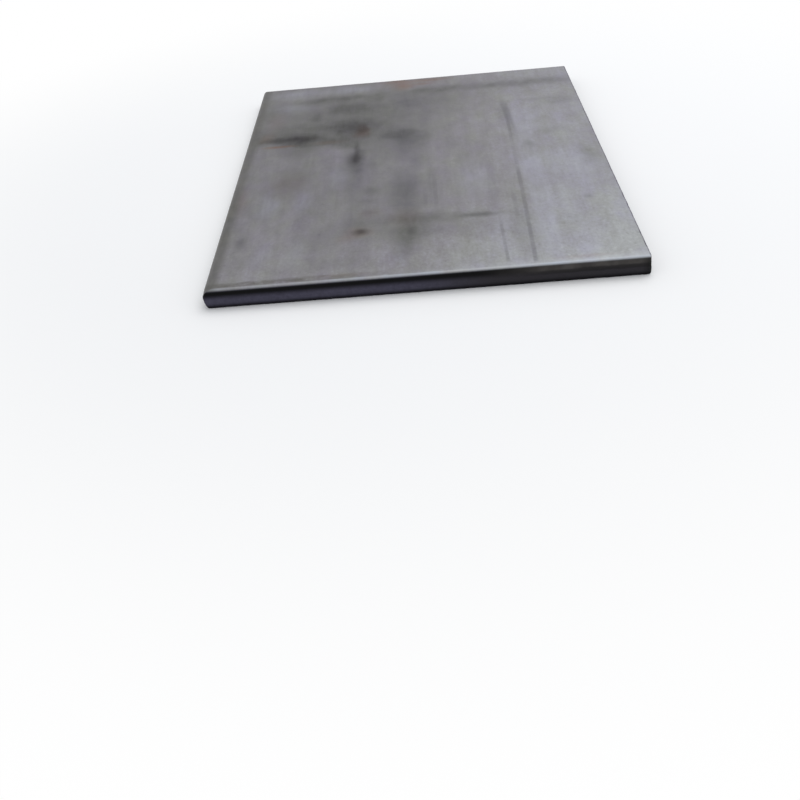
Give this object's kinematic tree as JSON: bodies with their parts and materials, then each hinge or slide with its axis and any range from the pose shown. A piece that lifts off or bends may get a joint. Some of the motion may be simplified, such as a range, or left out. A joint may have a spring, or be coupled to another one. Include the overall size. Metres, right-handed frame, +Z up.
{
  "type": "steel plate",
  "caption": "Flat rectangular piece of hot-rolled steel plate with a rounded mill edge on the left and sheared edges on the other sides, lying flat.",
  "frame": {"origin": "centre of the underside, on the surface that the plate lies on", "axes": "+X across the plate, from the rounded mill edge to the slit edge; +Y along the rolling direction, away from the front; +Z up, from the underside to the top face"},
  "size_m": [0.205, 0.275, 0.01],
  "materials": {
    "hot_rolled_steel": "blue-grey mill scale with fine rolling lines, dark rubbed smears, handling scratches and a trace of rust; sheared edges darker, with a bright rolled-over shoulder"
  },
  "bodies": {
    "root": {"plate": "hot_rolled_steel"}
  },
  "joints": []
}
